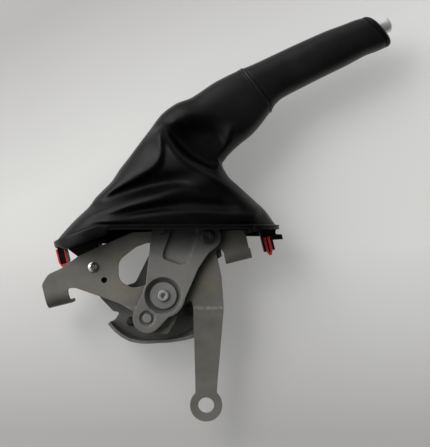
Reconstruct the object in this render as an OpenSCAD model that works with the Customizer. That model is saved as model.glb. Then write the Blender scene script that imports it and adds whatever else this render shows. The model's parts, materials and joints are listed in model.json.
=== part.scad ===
// Parking brake lever: floor bracket, stamped lever with ratchet, release button, grip and leather boot.
// Millimetres. X runs forward to the button, Z up from the floor, Y to the left.
// The origin lies on the floor under the rear foot, in the lever's middle plane.

/* [Floor bracket] */
// Thickness of the bracket sheet
bracket_t = 2.6; // [2:0.1:3.2]
// Distance of the bracket's right face from the middle plane
bracket_off = 8.6; // [8.4:0.1:9]
// Inside radius of the sheet bends at the feet
foot_bend_r = 5.8; // [4:0.2:6]
// Distance between the two floor bolts
foot_pitch = 170; // [168:1:174]
// Radius of the floor bolt holes
foot_hole_r = 4.5; // [3.5:0.1:5.5]
// Side position of the floor bolts
foot_hole_y = 10; // [9:0.5:12]
// Reach of the feet to the left of the middle plane
foot_reach = 22; // [20:0.5:26]
// Length of the rear foot along the floor
rear_foot_l = 21; // [18:0.5:24]
// Length of the front foot along the floor
front_foot_l = 24; // [20:0.5:25]

/* [Stay leg] */
// Length of the stay from its upper bend to the eye
stay_l = 90; // [80:1:100]
// Lean of the stay from the vertical, in degrees
stay_lean = 14; // [11:0.5:16]
// Sideways set of the eye from the bracket's plane
stay_set = 14; // [11:0.5:15]
// Outer radius of the eye
eye_r = 14.7; // [13:0.1:16]
// Radius of the eye's hole
eye_hole_r = 7.2; // [5:0.1:8.5]
// Width of the stay at its upper bend
stay_top_w = 27; // [25:0.5:29]
// Width of the stay above the eye
stay_neck_w = 19.6; // [17:0.2:22]

/* [Pivot] */
// Distance of the pivot ahead of the rear bolt
pivot_x = 93.6; // [92:0.2:95]
// Height of the pivot above the floor
pivot_z = -12.8; // [-14:0.2:-12]
// Radius of the pivot pin
pivot_r = 5; // [4:0.1:6]
// Radius of the pivot washer
washer_r = 12; // [10:0.2:12.8]
// Thickness of the pivot washer
washer_t = 1.5; // [1:0.1:2]
// Outer radius of the spacer sleeve
sleeve_r = 8; // [7:0.2:10]
// Radius of the hollow in the pin's end
pin_hollow_r = 2.3; // [1.5:0.1:3]

/* [Lever plates] */
// Thickness of the lever plates
plate_t = 2; // [1.6:0.1:2.2]
// Half of the width over both lever plates
plate_half = 15.4; // [15.2:0.1:15.6]
// Depth of the pressed panel in the right plate
panel_depth = 2.4; // [1.5:0.1:2.8]
// Radius of the cable cross pin
cross_r = 4.2; // [3.6:0.1:4.6]
// Radius of the right plate's round end about the cross pin
tip_r = 12.7; // [11.5:0.1:14]
// Radius of the right plate about the pivot
hub_r = 19.2; // [18.4:0.1:20]
// Radius of both plates about the pawl pin
pawl_hub_r = 12; // [10:0.2:13]
// Depth of the left plate's lip
lip_depth = 14.4; // [12:0.2:14.6]

/* [Arm] */
// Height of the arm's box section
arm_h = 20; // [18:0.2:20.6]
// Wall of the arm
arm_wall = 2; // [1.5:0.1:2.4]
// Half width of the arm inside the grip
arm_slim = 10.4; // [9:0.1:10.6]
// Rise of the lower arm, in degrees
arm_rise = 66; // [65:0.2:66.6]
// Bend radius of the arm
arm_bend_r = 60; // [50:1:70]

/* [Ratchet] */
// Pitch of the ratchet teeth, in degrees
tooth_pitch = 3.8; // [3.6:0.1:4]
// Number of clicks in the lever's travel
clicks = 10; // [8:1:11]
// Tip radius of the ratchet teeth
tooth_tip_r = 52; // [51.6:0.1:52]
// Depth of the ratchet teeth
tooth_depth = 2.4; // [2.2:0.1:2.6]
// Thickness of the sector plate
sector_t = 4.5; // [3.5:0.1:5]
// Thickness of the pawl
pawl_t = 5; // [4:0.1:5]
// Radius of the pawl pin
pawl_pin_r = 4; // [3.5:0.1:4.5]
// Radius of the pawl round its pin
pawl_boss_r = 7; // [6.4:0.1:8]

/* [Release] */
// Radius of the release rod
rod_r = 2.5; // [2:0.1:2.8]
// Radius of the button
button_r = 7; // [6:0.1:7.6]
// Length of the button outside the grip
button_out = 11.7; // [9:0.1:14]
// Radius of the button's stop flange
flange_r = 8.6; // [8.2:0.1:9]
// Travel of the button when pressed
button_travel = 5; // [4:0.1:5.4]
// Wire radius of the button spring
wire_r = 0.6; // [0.4:0.05:0.8]
// Mean radius of the button spring
coil_r = 5.2; // [4.6:0.1:6]

/* [Grip] */
// Length of the grip cover along the grip
grip_l = 117; // [112:1:122]
// Rise of the grip, in degrees
grip_rise = 11.3; // [10.9:0.1:11.7]
// Half height of the grip
grip_half_h = 18.5; // [17.5:0.1:20]
// Half width of the grip
grip_half_w = 17.2; // [16.8:0.1:19]
// Thickness of the leather
leather_t = 1.6; // [1.2:0.1:1.8]
// Length of the end cap
cap_l = 6; // [5:0.2:8]

/* [Boot frame] */
// Half width of the boot frame
ring_half_w = 37; // [35:0.5:40]
// Width of the frame's long sides
ring_side = 6; // [5:0.2:7]
// Width of the frame's ends
ring_end = 9; // [8:0.2:11]
// Height of the frame's section
ring_h = 4; // [3.4:0.2:4.6]
// Height of the frame's section at the rear
ring_rear_h = 6; // [5:0.2:6.2]
// Width of the rear clip
clip_w = 8.6; // [7.6:0.1:10]
// Width of the front clip
front_clip_w = 6; // [5:0.1:6.4]
// Height of the red clips
clip_h = 15; // [13:0.2:15.4]
// Thickness of the frame's rear tongue
rear_tongue_t = 5.6; // [4.6:0.1:6]
// Thickness of the frame's front tongue
front_tongue_t = 1.6; // [1.2:0.1:2]

/* [Warning switch] */
// Length of the switch body
switch_l = 24; // [22:0.5:26]
// Height of the switch body
switch_h = 27; // [25:0.5:28]
// Radius of the plunger
plunger_r = 2.5; // [2:0.1:2.8]
// Radius of the switch screw's head
screw_head_r = 4.6; // [4:0.1:5.2]
// Radius of the switch screw's shank
screw_r = 2.5; // [2:0.1:2.8]

/* [Hidden] */
$fn = 48;
// Clearances
press_gap = 0.02;
run_gap = 0.06;
side_gap = 0.3;
seat_gap = 0.2;
slot_gap = 0.5;
// Small overshoot of a cut past a face
eps = 0.01;

// Places in side view, as [forward, up]
lever_travel = clicks * tooth_pitch;
pivot = [pivot_x, pivot_z];
cross_pin_at = pivot + [-18.5, -15.9];
pawl_pin_at = pivot + [50.3, 41.1];
hook_at = pawl_pin_at + [-1.9, 17.7];
grip_at = pivot + [123.4, 161.1];
arm_at = pivot + [41.4, 57.8];

// Layers across the lever, from right to left
bracket_y = -bracket_off;
bracket_far = bracket_y + bracket_t;
near_out = -plate_half;
near_in = near_out + plate_t;
far_in = plate_half - plate_t;
far_out = plate_half;
pawl_y = bracket_far + slot_gap;
foot_bend_out = foot_bend_r + bracket_t;

// Small vector helpers
function unit(v) = v / norm(v);
function heading(a) = [cos(a), sin(a)];
function polar(c, r, a) = c + r * heading(a);
function mix(a, b, t) = a + (b - a) * t;
function arc(c, r, a0, a1, n = 8) = [for (i = [0 : n]) polar(c, r, mix(a0, a1, i / n))];
function turn(p, c, a) = c + [(p.x - c.x) * cos(a) - (p.y - c.y) * sin(a),
                              (p.x - c.x) * sin(a) + (p.y - c.y) * cos(a)];
// Outline corner at a place measured from the pivot, with its rounding
function spot(dx, dz, r) = [pivot.x + dx, pivot.y + dz, r];
function flat(lists) = [for (l = lists) for (p = l) p];
function curve(a, b, c, t) = mix(mix(a, b, t), mix(b, c, t), t);

// One corner of an outline, rounded by a curve with about the radius in its third number
function corner(a, p, b, r, n) =
    let (d1 = unit(a - p), d2 = unit(b - p),
         half = acos(max(-1, min(1, d1 * d2))) / 2,
         t = min(r / tan(half), 0.48 * norm(a - p), 0.48 * norm(b - p)))
    [for (i = [0 : n]) curve(p + d1 * t, p, p + d2 * t, i / n)];
// Closed outline from corners as [x, y, rounding]
function rounded(pts, n = 5) =
    let (m = len(pts), xy = [for (p = pts) [p.x, p.y]])
    flat([for (i = [0 : m - 1])
        pts[i][2] > 0 ? corner(xy[(i + m - 1) % m], xy[i], xy[(i + 1) % m], pts[i][2], n) : [xy[i]]]);
// Outline points that stay as they are among rounded corners
function kept(pts) = [for (p = pts) [p.x, p.y, 0]];
function soft(p, r) = [p.x, p.y, r];
// Outline of a strap with round ends of two radii
function strap(p, rp, q, rq) =
    let (d = q - p, base = atan2(d.y, d.x), lean = acos((rp - rq) / norm(d)))
    concat(arc(p, rp, base + lean, base + 360 - lean, 12), arc(q, rq, base - lean, base + lean, 12));
// Outline of a curved slot about a centre
function arc_slot(c, r, w, a0, a1) =
    concat(arc(c, r + w, a0, a1, 12), arc(polar(c, r, a1), w, a1, a1 + 180, 8),
           arc(c, r - w, a1, a0, 12), arc(polar(c, r, a0), w, a0 + 180, a0 + 360, 8));

// Sheet lying in the side view, from y0 for the thickness t
module sheet(y0, t) translate([0, y0 + t, 0]) rotate([90, 0, 0]) linear_extrude(height = t) children();
// Round bar along Y
module bar(p, y0, y1, r) translate([p.x, y1, p.y]) rotate([90, 0, 0]) cylinder(r = r, h = y1 - y0);
// Ring turned about an axis along Y, from a profile of [radius, depth from y0]
module turned(p, y0, profile) translate([p.x, y0, p.y]) rotate([-90, 0, 0]) rotate_extrude() polygon(profile);
// Profile in [across, up] run along X
module run_x(x0, l) translate([x0, 0, 0]) rotate([90, 0, 90]) linear_extrude(height = l) children();
// Closed solid through a row of loops
module loft(loops) {
    m = len(loops);
    n = len(loops[0]);
    side = [for (i = [0 : m - 2]) for (j = [0 : n - 1])
        let (a = i * n + j, b = i * n + (j + 1) % n) each [[a, b, b + n], [a, b + n, a + n]]];
    polyhedron(flat(loops), concat(side, [[for (j = [n - 1 : -1 : 0]) j]],
                                   [[for (j = [0 : n - 1]) (m - 1) * n + j]]));
}
// Tube between outer and inner rows of loops
module tube_loft(outer, inner) {
    loops = concat(outer, [for (i = [len(inner) - 1 : -1 : 0]) inner[i]]);
    m = len(loops);
    n = len(loops[0]);
    polyhedron(flat(loops), [for (i = [0 : m - 1]) for (j = [0 : n - 1])
        let (a = i * n + j, b = i * n + (j + 1) % n, c = ((i + 1) % m) * n)
        each [[a, b, c + (j + 1) % n], [a, c + (j + 1) % n, c + j]]]);
}
// Point of a rounded square loop with half sides of 1
function squircle(a, n) = [sign(cos(a)) * pow(abs(cos(a)), 2 / n), sign(sin(a)) * pow(abs(sin(a)), 2 / n)];

// Floor bracket
pawl_reach = norm(pawl_pin_at - pivot);
spacer_r = pawl_pin_r + 2;
crown_r = pawl_reach - spacer_r - 2;
cross_reach = norm(cross_pin_at - pivot);
cross_angle = atan2(cross_pin_at.y - pivot.y, cross_pin_at.x - pivot.x) + 360;
cross_slot_w = cross_r + slot_gap;
front_foot_x = foot_pitch - 16;
front_edge_x = front_foot_x + front_foot_l;
stay_dir = -[sin(stay_lean), cos(stay_lean)];
stay_side = [cos(stay_lean), -sin(stay_lean)];
stay_top = pivot + [33.5, -20.2];
// The stay's upper end sits a little ahead of its own centre line
stay_bow = 2.4;
function stay_end(side) = stay_top + stay_side * (stay_bow + side * stay_top_w / 2);
eye_at = stay_top + stay_dir * stay_l;
relief_at = [front_foot_x - 3.2, 12];

function bracket_outline() = rounded(concat(
    [[1 - rear_foot_l / 2, foot_bend_out, 0], [1 + rear_foot_l / 2, foot_bend_out, 0],
     [1.4 + rear_foot_l / 2, 13.5, 3], [18.6, 12.6, 7], [36.5, 1, 40],
     spot(-40, 2.2, 30), spot(-28.8, -8, 8)],
    kept(arc(pivot, cross_reach + cross_slot_w + 5.4, cross_angle - 12, 262, 10)),
    [spot(3.6, -26, 10), spot(14.2, -12.6, 4), soft(stay_end(-1) + [0.2, 8], 3)],
    kept([stay_end(-1), stay_end(1)]),
    [[front_foot_x - 6.6, -9, 40], [front_foot_x - 6, 12.6, 0]],
    kept(arc(relief_at, 2.8, 165, 15, 8)),
    [[front_foot_x + 0.6, foot_bend_out + 1, 1], [front_foot_x + 1, foot_bend_out, 0],
     [front_edge_x - 1, foot_bend_out, 0], [front_edge_x - 0.6, 26, 6], [front_foot_x + 1, 31, 6],
     [front_foot_x - 5, 19, 5]],
    kept(arc(pivot, crown_r, 34, 82, 10)),
    [[80, 48, 12], [46, 42.5, 14], [27.5, 38.8, 12], [10, 32, 14], [-1.5, 30, 8],
     [1 - rear_foot_l / 2, 22.5, 7]]));
function bracket_window() = rounded([[57.5, 9, 10], [61.5, 26.5, 12], [80, 34.6, 14], [100, 36.5, 6],
                                     spot(-6.6, 12.6, 6), spot(-25, 12.4, 10)]);

module foot(x0, l, hole_x) {
    bend = [bracket_y + foot_bend_out, foot_bend_out];
    profile = concat(arc(bend, foot_bend_out, 180, 270, 8), [[foot_reach, 0], [foot_reach, bracket_t]],
                     arc(bend, foot_bend_r, 270, 180, 8),
                     [[bracket_far, foot_bend_out + 1], [bracket_y, foot_bend_out + 1]]);
    corner_r = 8;
    plan = concat([[x0, bracket_y], [x0 + l, bracket_y]],
                  arc([x0 + l - corner_r, foot_reach - corner_r], corner_r, 0, 90),
                  arc([x0 + corner_r, foot_reach - corner_r], corner_r, 90, 180));
    difference() {
        intersection() {
            run_x(x0, l) polygon(profile);
            linear_extrude(height = foot_bend_out + 1) polygon(plan);
        }
        translate([hole_x, foot_hole_y, -eps]) cylinder(r = foot_hole_r, h = bracket_t + 2 * eps);
    }
}

// The stay is welded to the bracket at its upper bend and cranked to the left, in a frame that leans with it
module stay_leg() color("#8d8a80") difference() {
    low = 26;
    ease = 4;
    slope = stay_set / (stay_l - ease - low);
    side = [[0, stay_l], [slope * ease, stay_l - 2 * ease], [stay_set - slope * ease, low + ease],
            [stay_set, low - ease], [stay_set, -eye_r]];
    profile = concat([for (p = side) [bracket_y + p.x, p.y]],
                     [for (i = [len(side) - 1 : -1 : 0]) [bracket_far + side[i].x, side[i].y]]);
    half = stay_neck_w / 2;
    translate([eye_at.x, 0, eye_at.y]) rotate([0, stay_lean, 0]) intersection() {
        run_x(-3 * eye_r, 6 * eye_r) polygon(profile);
        sheet(bracket_y - 1, stay_set + bracket_t + 2) polygon(rounded(concat(
            [[stay_bow - stay_top_w / 2, stay_l, 0], [-half, eye_r * 0.9, 9]],
            kept(arc([0, 0], eye_r, 133, 407, 24)),
            [[half, eye_r * 0.9, 9], [stay_bow + stay_top_w / 2, stay_l, 0]])));
    }
    bar(eye_at, bracket_y + stay_set - 1, bracket_far + stay_set + 1, eye_hole_r);
}

switch_screw_at = [38.8, 26.5];
switch_hole_at = [45.5, 12.9];
switch_hole_r = 2.7;
// The sector's rivets sit in the middle of its band
tooth_root_r = tooth_tip_r - tooth_depth;
sector_inner_r = 38;
rivet_r = 3;
rivet_reach = (sector_inner_r + tooth_root_r) / 2;
rivet_angles = [36, 58];

module base_bracket() color("#8f8d86") difference() {
    union() {
        sheet(bracket_y, bracket_t) difference() {
            polygon(bracket_outline());
            polygon(bracket_window());
            polygon(arc_slot(pivot, cross_reach, cross_slot_w, cross_angle, cross_angle + lever_travel));
        }
        foot(1 - rear_foot_l / 2, rear_foot_l, 0);
        foot(front_foot_x, front_foot_l, foot_pitch);
    }
    bar(pivot, bracket_y - 1, bracket_far + 1, pivot_r + press_gap);
    bar(switch_screw_at, bracket_y - 1, bracket_far + 1, screw_r + press_gap);
    bar(switch_hole_at, bracket_y - 1, bracket_far + 1, switch_hole_r);
    for (a = rivet_angles)
        bar(polar(pivot, rivet_reach, a), bracket_y - 1, bracket_far + 1, rivet_r + press_gap);
}

// Ratchet sector, riveted to the bracket's left face
engage_angle = 5.3;
nose_angle = 20.95;
tooth_count = clicks + 2;
sector_start = nose_angle - tooth_pitch - 3;
// Half width of a gap's floor, lean of its holding side along the nose's path, and width of a tip, in degrees
root_half = 0.45;
flank_lean = 0.95;
tip_land = 0.45;
tip_before = root_half + flank_lean;
function tooth(a) = [polar(pivot, tooth_root_r, a - root_half), polar(pivot, tooth_root_r, a + root_half),
                     polar(pivot, tooth_tip_r, a + tooth_pitch - tip_before - tip_land),
                     polar(pivot, tooth_tip_r, a + tooth_pitch - tip_before)];

module ratchet_sector() color("#6e6d69") difference() {
    sheet(bracket_far, sector_t) polygon(concat(
        [polar(pivot, tooth_tip_r, sector_start),
         polar(pivot, tooth_tip_r, nose_angle - tooth_pitch - tip_before)],
        flat([for (i = [-1 : tooth_count - 1]) tooth(nose_angle + i * tooth_pitch)]),
        arc(pivot, sector_inner_r, nose_angle + tooth_count * tooth_pitch, sector_start, 12)));
    for (a = rivet_angles)
        bar(polar(pivot, rivet_reach, a), bracket_far - 1, bracket_far + sector_t + 1, rivet_r + press_gap);
}

module sector_rivets() color("#7d7c77") for (a = rivet_angles) {
    head_t = 1.4;
    head_r = 4.4;
    far = bracket_far + sector_t;
    turned(polar(pivot, rivet_reach, a), bracket_y, [
        [0, -head_t], [head_r - 1.4, -head_t], [head_r, -0.4], [head_r, 0], [rivet_r, 0],
        [rivet_r, far - bracket_y], [head_r, far - bracket_y], [head_r, far - bracket_y + 0.4],
        [head_r - 1.4, far - bracket_y + head_t], [0, far - bracket_y + head_t]]);
}

// Pivot stack
dish_floor_in = bracket_y - side_gap;
dish_depth = dish_floor_in - plate_t - near_out;
washer_far = dish_floor_in - plate_t - side_gap;
washer_near = washer_far - washer_t;
pin_near = washer_near - 2;
lock_near = far_out + side_gap;
pin_far = lock_near + washer_t + 1.6;
lock_r = sleeve_r + 1.4;

module pivot_pin() color("#9a9892") turned(pivot, pin_near, [
    [pin_hollow_r, 0], [pivot_r - 0.8, 0], [pivot_r, 0.8], [pivot_r, pin_far - pin_near - 0.8],
    [pivot_r - 0.8, pin_far - pin_near], [0, pin_far - pin_near], [0, 4], [pin_hollow_r, 3]]);

module pivot_washer() color("#a3a19b") turned(pivot, washer_near, [
    [pivot_r + press_gap, 0], [washer_r - 0.5, 0], [washer_r, 0.5], [washer_r, washer_t],
    [pivot_r + press_gap, washer_t]]);

module pivot_sleeve() color("#77756f") turned(pivot, bracket_far, [
    [pivot_r + press_gap, 0], [sleeve_r, 0], [sleeve_r, far_in - side_gap - bracket_far],
    [pivot_r + press_gap, far_in - side_gap - bracket_far]]);

module pivot_lock_ring() color("#8a8882") turned(pivot, lock_near, [
    [pivot_r + press_gap, 0], [lock_r, 0], [lock_r, washer_t], [pivot_r + press_gap, washer_t]]);

// Arm path: a straight rise, a bend, then the grip's axis
rise_dir = heading(arm_rise);
grip_dir = heading(grip_rise);
grip_up = heading(grip_rise + 90);
bend_turn = arm_rise - grip_rise;
meet_l = ((grip_at.x - arm_at.x) * grip_dir.y - (grip_at.y - arm_at.y) * grip_dir.x)
         / (rise_dir.x * grip_dir.y - rise_dir.y * grip_dir.x);
meet_at = arm_at + rise_dir * meet_l;
arm_from = 18;
arm_bevel = 24;
arm_taper_from = grip_at.x - 45;
arm_taper_to = grip_at.x - 12;
flange_from = grip_l - 9;
spring_block = 8;
arm_end = flange_from - button_travel - spring_block;
function grip_pt(x, z) = grip_at + grip_dir * x + grip_up * z;
// Bent path of a given bend radius, set off to the upper side by d
function bent(d, r, from, last, n = 10) =
    let (t = r * tan(bend_turn / 2), c = meet_at - rise_dir * t + heading(arm_rise - 90) * r)
    concat([from + heading(arm_rise + 90) * d], arc(c, r + d, arm_rise + 90, grip_rise + 90, n),
           [last + grip_up * d]);
// Lower end of the arm, cut on a slant to leave room for the rod
function arm_foot(d) = arm_at + rise_dir * (arm_from + arm_bevel * (0.5 - d / arm_h));
function arm_side(d) = bent(d, arm_bend_r, arm_foot(d), grip_pt(arm_end, 0));
// Plan of the arm: as wide as the plates allow below, slim inside the grip
function arm_plan(inset) =
    let (wide = far_in - inset, slim = arm_slim - inset, last = grip_pt(arm_end, 0).x + arm_h)
    [[pivot.x, -wide], [arm_taper_from, -wide], [arm_taper_to, -slim], [last, -slim],
     [last, slim], [arm_taper_to, slim], [arm_taper_from, wide], [pivot.x, wide]];
function reversed(l) = [for (i = [len(l) - 1 : -1 : 0]) l[i]];

// Part of the arm's box between two walls
module arm_block(inset) intersection() {
    sheet(near_in, far_in - near_in) children();
    linear_extrude(height = grip_pt(grip_l, arm_h).y) polygon(arm_plan(inset));
}
module lever_arm() color("#85837d") difference() {
    hollow = arm_h / 2 - arm_wall;
    arm_block(0) polygon(concat(arm_side(-arm_h / 2), reversed(arm_side(arm_h / 2))));
    arm_block(arm_wall) polygon(concat(
        [arm_at + heading(arm_rise - 90) * hollow], arm_side(-hollow), [grip_pt(arm_end + 1, -hollow)],
        [grip_pt(arm_end + 1, hollow)], reversed(arm_side(hollow)),
        [arm_at + heading(arm_rise + 90) * hollow]));
}

// Lever plates
arm_grip_l = 62;
function arm_edge(along, side) = arm_at + rise_dir * along + heading(arm_rise + 90) * side * arm_h / 2;
function plate_head() = concat(
    kept(arc(pawl_pin_at, pawl_hub_r, -72, 20, 8)),
    [soft(arm_edge(20, -1), 12), soft(arm_edge(arm_grip_l, -1), 5), soft(arm_edge(arm_grip_l, 1), 5),
     soft(arm_edge(30, 1), 14)]);
function right_outline() = rounded(concat(
    kept(arc(cross_pin_at, tip_r, 150, 300, 12)),
    kept(arc(pivot, hub_r, -90, -22, 8)),
    [spot(36, 16.4, 30), spot(47.6, 26.8, 8)],
    plate_head(),
    [spot(3.6, 58, 12), spot(-5.2, 33.2, 30), spot(-13, 11.6, 20)]));
// Pressed hollow round a hole: rim, slope and floor
function dish(rim, floor_r, depth, bore) = [
    [bore, depth], [floor_r, depth], [rim, 0], [rim + 1.5, 0], [rim + 1.5, plate_t],
    [rim + 0.6, plate_t], [floor_r + 0.6, depth + plate_t], [bore, depth + plate_t]];
dish_rim = washer_r + 4.6;
dish_floor_r = washer_r + 1.6;
dimple_depth = 1.6;
dimple_rim = cross_r + 3;
dimple_floor_r = cross_r + 1.6;
function panel(grow) = [for (p = rounded([[7, 31.4, 4], [21, 22.4, 4], [28, 22, 4], [44.6, 48.5, 4],
                                          [37, 60, 5], [24, 59, 5], [9, 37.4, 4]], 3))
    pivot + p + unit(p - [25, 41]) * grow];

// Straight-sided frustum between two outlines with as many points
module frustum(y0, top, y1, low) loft([[for (p = top) [p.x, y0, p.y]], [for (p = low) [p.x, y1, p.y]]]);

module lever_plate_right() color("#93918b") difference() {
    union() {
        sheet(near_out, plate_t) difference() {
            polygon(right_outline());
            translate(pivot) circle(r = dish_rim + 1.5);
            translate(cross_pin_at) circle(r = dimple_rim + 1.5);
        }
        turned(pivot, near_out, dish(dish_rim, dish_floor_r, dish_depth, pivot_r + run_gap));
        turned(cross_pin_at, near_out, dish(dimple_rim, dimple_floor_r, dimple_depth, cross_r + press_gap));
        frustum(near_out + plate_t / 2, panel(0.8), near_in + panel_depth, panel(-1.4));
    }
    frustum(near_out - eps, panel(0), near_out + panel_depth, panel(-2.2));
    bar(pawl_pin_at, near_out - 1, near_in + 1, pawl_pin_r + press_gap);
}

lip_c = pivot + [-6.2, 14.5];
lip_r = 55.6;
lip_edge_c = pivot + [5.3, 24.3];
// Radius of the lip's right edge over the angle
lip_edge = [[211, 72.2], [218, 73.5], [224, 74.3], [232, 74.2], [240, 72.5], [246, 70.6], [253, 69],
            [266, 68.6], [284, 70.4]];
lip_t = 2.6;
tab_top = pivot.y + 14.8;
function left_outline() = rounded(concat(
    kept(arc(lip_c, lip_r + plate_t, 210, 304, 16)),
    [spot(26, -14, 12), spot(36, 16.4, 30), spot(47.6, 26.8, 8)],
    plate_head(),
    [spot(3.6, 58, 12), spot(-3, 41.3, 12), spot(-24.5, 15.8, 6), [pivot.x - 41, tab_top, 4],
     [pivot.x - 58.8, tab_top, 3], spot(-59.4, 10.6, 3), spot(-50.6, -5, 4), spot(-45, -7.2, 2),
     spot(-50.6, -12.2, 2)]));
// Lip from the plate's lower edge towards the right, flared at the front
module lip() {
    n = 18;
    y1 = far_in + plate_t / 2;
    y0 = far_out - lip_depth;
    stations = [for (i = [0 : n]) let (t = i / n, a = mix(210, 300, t), b = mix(211.6, 284, t)) [
        let (p = polar(lip_c, lip_r, a)) [p.x, y1, p.y],
        let (p = polar(lip_c, lip_r + plate_t - eps, a)) [p.x, y1, p.y],
        let (p = polar(lip_edge_c, lookup(b, lip_edge), b)) [p.x, y0, p.y],
        let (p = polar(lip_edge_c, lookup(b, lip_edge) - lip_t, b)) [p.x, y0, p.y]]];
    loft(stations);
}

plug_at = [pivot + [-37.1, -17.5], pivot + [16.3, -20.5]];
plug_head_r = [4, 5];
plug_stem_r = 2.8;

module lever_plate_left() color("#8c8a84") union() {
    sheet(far_in, plate_t) difference() {
        polygon(left_outline());
        translate(pivot) circle(r = pivot_r + run_gap);
        translate(cross_pin_at) circle(r = cross_r + press_gap);
        translate(pawl_pin_at) circle(r = pawl_pin_r + press_gap);
        for (p = plug_at) translate(p) circle(r = plug_stem_r + press_gap);
    }
    lip();
}

module bump_stops() color("#1c1c1d") for (i = [0 : 1]) turned(plug_at[i], far_in, [
    [0, -2.6], [plug_head_r[i] - 1.6, -2.6], [plug_head_r[i], -1], [plug_head_r[i], 0], [plug_stem_r, 0],
    [plug_stem_r, plate_t], [plug_head_r[i] - 0.6, plate_t], [plug_head_r[i] - 0.6, plate_t + 1],
    [0, plate_t + 1.6]]);

module cross_pin() color("#9d9b95") turned(cross_pin_at, near_out, [
    [0, 0.2], [cross_r - 0.6, 0.2], [cross_r, 0.8], [cross_r, far_out - near_out],
    [cross_r + 1.2, far_out - near_out], [cross_r + 1.2, far_out - near_out + 1],
    [cross_r, far_out - near_out + 1.8], [0, far_out - near_out + 1.8]]);

// Pawl and its pin
module pawl_pin() color("#202021") turned(pawl_pin_at, near_out, [
    [0, -2.2], [1.8, -2.2], [2.4, -2.8], [pawl_pin_r + 1, -2.8], [pawl_pin_r + 2, -1.8], [pawl_pin_r + 2, 0],
    [pawl_pin_r, 0], [pawl_pin_r, far_out - near_out], [pawl_pin_r + 1.5, far_out - near_out],
    [pawl_pin_r + 1.5, far_out - near_out + 0.8], [pawl_pin_r, far_out - near_out + 1.6],
    [0, far_out - near_out + 1.6]]);

module spacer(y0, y1) turned(pawl_pin_at, y0, [
    [pawl_pin_r + press_gap, 0], [spacer_r, 0], [spacer_r, y1 - y0], [pawl_pin_r + press_gap, y1 - y0]]);
module pawl_spacers() color("#6f6d68") {
    spacer(near_in, pawl_y - side_gap);
    spacer(pawl_y + pawl_t + side_gap, far_in);
}

hook_r = rod_r - 0.5;
tail_r = hook_r + slot_gap + 2;
nose_r = tooth_root_r + 0.7;
// The nose is drawn seated in a tooth gap, then lifted to the resting place just off the tooth tips
function nose() = [for (p = [[pawl_reach - pawl_boss_r, 37], [tooth_tip_r + 2.2, 24.5],
                             [nose_r, nose_angle + 0.22], [nose_r, nose_angle - 0.22],
                             [tooth_tip_r + 2, nose_angle - 0.6], [tooth_tip_r + 8, nose_angle - 1.3],
                             [tooth_tip_r + 11, nose_angle + 3], [pawl_reach + pawl_boss_r - 1.5, 36]])
    turn(polar(pivot, p.x, p.y), pawl_pin_at, engage_angle)];

module pawl() color("#5f5e5a") difference() {
    sheet(pawl_y, pawl_t) difference() {
        union() {
            polygon(strap(pawl_pin_at, pawl_boss_r, hook_at, tail_r));
            polygon(nose());
        }
        translate(pawl_pin_at) circle(r = pawl_pin_r + run_gap);
        translate(hook_at) circle(r = hook_r + slot_gap);
    }
}

// Release button, rod and spring
cap_slope = -0.32;
collar_slope = -0.19;
cap_from = grip_l + leather_t / 8;
button_tip = grip_l + cap_l + button_out;
flange_t = 4;
rod_socket = 8;
guide_l = 10;
rod_bend_r = 50;
rod_drop_y = pawl_y + pawl_t + slot_gap + rod_r + 0.4;

// Places a turned or straight piece on the grip's axis, with its axis along the grip
module on_grip(x) translate([grip_pt(x, 0).x, 0, grip_pt(x, 0).y]) rotate([0, 90 - grip_rise, 0]) children();

module release_button() color("#c4c4c2") on_grip(flange_from) rotate_extrude() polygon(concat(
    [[rod_r + press_gap, 0], [flange_r, 0], [flange_r, flange_t], [button_r, flange_t]],
    [for (p = arc([button_r - 3, button_tip - flange_from - 3], 3, 0, 70, 5)) p],
    [[0, button_tip - flange_from + 0.35], [0, rod_socket], [rod_r + press_gap, rod_socket]]));

// Rod swept along a path that lies nearly in the middle plane
function rod_ring(path, i, sides) =
    let (n = len(path), along = unit(path[min(i + 1, n - 1)] - path[max(i - 1, 0)]),
         up = unit(cross(along, [0, 1, 0])), side = cross(up, along))
    [for (j = [0 : sides - 1]) path[i] + rod_r * (cos(360 * j / sides) * up + sin(360 * j / sides) * side)];

module release_rod() color("#8b8a86") {
    drop_dir = unit(hook_at - meet_at);
    turn_angle = atan2(-drop_dir.y, -drop_dir.x) - grip_rise;
    t = rod_bend_r * tan(turn_angle / 2);
    c = meet_at + grip_dir * t - grip_up * rod_bend_r;
    past = hook_at + drop_dir * hook_r;
    flat_path = concat([grip_pt(flange_from + rod_socket, 0)],
                       arc(c, rod_bend_r, grip_rise + 90, grip_rise + 90 + turn_angle, 8));
    path = concat([for (p = flat_path) [p.x, 0, p.y]], [[past.x, rod_drop_y, past.y]]);
    loft([for (i = [0 : len(path) - 1]) rod_ring(path, i, 12)]);
    bar(hook_at, pawl_y - 1, rod_drop_y, hook_r);
}

module rod_guide() color("#d8d6cc") on_grip(arm_end - guide_l) difference() {
    w = 2 * (arm_slim - arm_wall - press_gap);
    h = arm_h - 2 * arm_wall - 2 * press_gap;
    translate([-h / 2, -w / 2, 0]) cube([h, w, guide_l]);
    translate([0, 0, -1]) cylinder(r = rod_r + side_gap, h = guide_l + 2);
}

module button_spring() color("#b9b8b2") {
    turns = 5;
    steps = 16;
    sides = 6;
    l = flange_from - arm_end - 2 * wire_r - 2 * seat_gap;
    ring = function (i) let (a = 360 * i / steps, z = wire_r + seat_gap + l * i / (turns * steps))
        [for (j = [0 : sides - 1]) let (b = -360 * j / sides, r = coil_r + wire_r * cos(b))
            [r * cos(a), r * sin(a), z + wire_r * sin(b)]];
    on_grip(arm_end) loft([for (i = [0 : turns * steps]) ring(i)]);
}

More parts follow.
